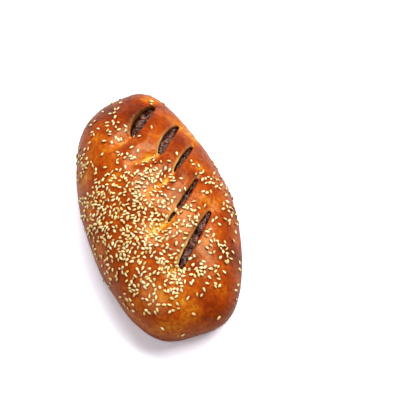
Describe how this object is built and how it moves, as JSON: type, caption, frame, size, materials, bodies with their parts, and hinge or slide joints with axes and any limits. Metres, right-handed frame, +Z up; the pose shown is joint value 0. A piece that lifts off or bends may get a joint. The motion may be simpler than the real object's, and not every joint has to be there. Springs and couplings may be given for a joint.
{
  "type": "filled sesame loaf bun",
  "caption": "Oval baked bun with sesame seeds and slanting cuts that show a dark filling; a loaf to lay on a plate, board or shelf.",
  "frame": {"origin": "centre of the loaf's bounding box in plan, on the flat foot it rests on", "axes": "+X along the loaf towards its fuller end, +Y across it towards the cuts, +Z up"},
  "size_m": [0.1844, 0.1006, 0.0568],
  "materials": {
    "crust": "egg-washed baked crust, glossy",
    "filling": "moist dark poppy seed and fruit paste",
    "sesame": "toasted hulled sesame seed"
  },
  "bodies": {
    "root": {"dough_loaf": "crust", "filling": "filling"}
  },
  "joints": []
}
